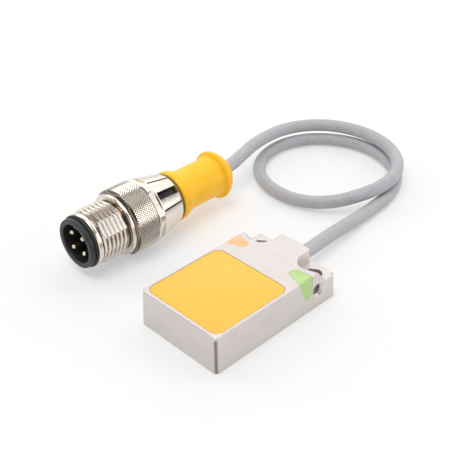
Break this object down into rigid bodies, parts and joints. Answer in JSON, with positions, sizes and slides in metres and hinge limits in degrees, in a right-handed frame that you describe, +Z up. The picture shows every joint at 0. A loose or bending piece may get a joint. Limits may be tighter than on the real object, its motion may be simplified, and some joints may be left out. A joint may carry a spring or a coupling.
{
  "type": "proximity sensor",
  "caption": "Flat rectangular inductive sensor in a metal block housing, with a short free cable that ends in a round threaded plug with a turning coupling nut.",
  "frame": {"origin": "centre of the housing's flat underside", "axes": "+X across the housing's width, +Y along its length from the sensing end to the cable, +Z up out of the sensing face; the plug's axis lies along Y beside the housing, contacts towards -Y"},
  "size_m": [0.0497, 0.0839, 0.0147],
  "materials": {
    "housing_metal": "satin nickelled zinc casting",
    "face_plastic": "smooth, faintly satin",
    "ferrite": "sintered, matt",
    "grey_plastic": "moulded",
    "copper": "enamelled winding",
    "board": "solder mask",
    "resin": "cast potting resin",
    "black_plastic": "moulded, fine grain",
    "green_window": "clear tinted light guide",
    "amber_window": "clear tinted light guide",
    "black_rubber": "soft, matt",
    "wire_sheath": "extruded",
    "plug_metal": "warm nickel plate on turned brass",
    "grip_plastic": "overmoulded, soft satin",
    "contact_gold": "gold flash on turned pins",
    "cable_jacket": "extruded polyurethane, faintly satin"
  },
  "bodies": {
    "sensor": {"housing": "housing_metal", "active_face_cap": "face_plastic", "ferrite_core": "ferrite", "coil_bobbin": "grey_plastic", "coil_winding": "copper", "circuit_board": "board", "potting_fill": "resin", "oscillator_chip": "black_plastic", "output_driver": "black_plastic", "supply_capacitor": "grey_plastic", "trim_resistor": "black_plastic", "led_green": "green_window", "led_amber": "amber_window", "light_guide_green": "green_window", "light_guide_amber": "amber_window", "cable_bush": "black_rubber", "sensor_wire_1": "wire_sheath", "sensor_wire_2": "wire_sheath", "sensor_wire_3": "wire_sheath", "sensor_wire_4": "wire_sheath", "contact_carrier": "black_plastic", "carrier_seal": "black_rubber", "detent_ring": "black_plastic", "inner_body": "black_plastic", "crimp_ring": "plug_metal", "plug_grip": "grip_plastic", "contact_pin_1": "contact_gold", "contact_pin_2": "contact_gold", "contact_pin_3": "contact_gold", "contact_pin_4": "contact_gold", "plug_wire_1": "wire_sheath", "plug_wire_2": "wire_sheath", "plug_wire_3": "wire_sheath", "plug_wire_4": "wire_sheath", "cable": "cable_jacket"},
    "coupling": {"coupling_screw": "plug_metal", "knurled_nut": "plug_metal", "rear_cone": "plug_metal"}
  },
  "joints": [
    {"name": "coupling_turn", "type": "hinge", "parent": "sensor", "child": "coupling", "pos_m": [-0.0314, -0.005, 0.00737], "axis": [0, 1, 0], "continuous": true}
  ]
}
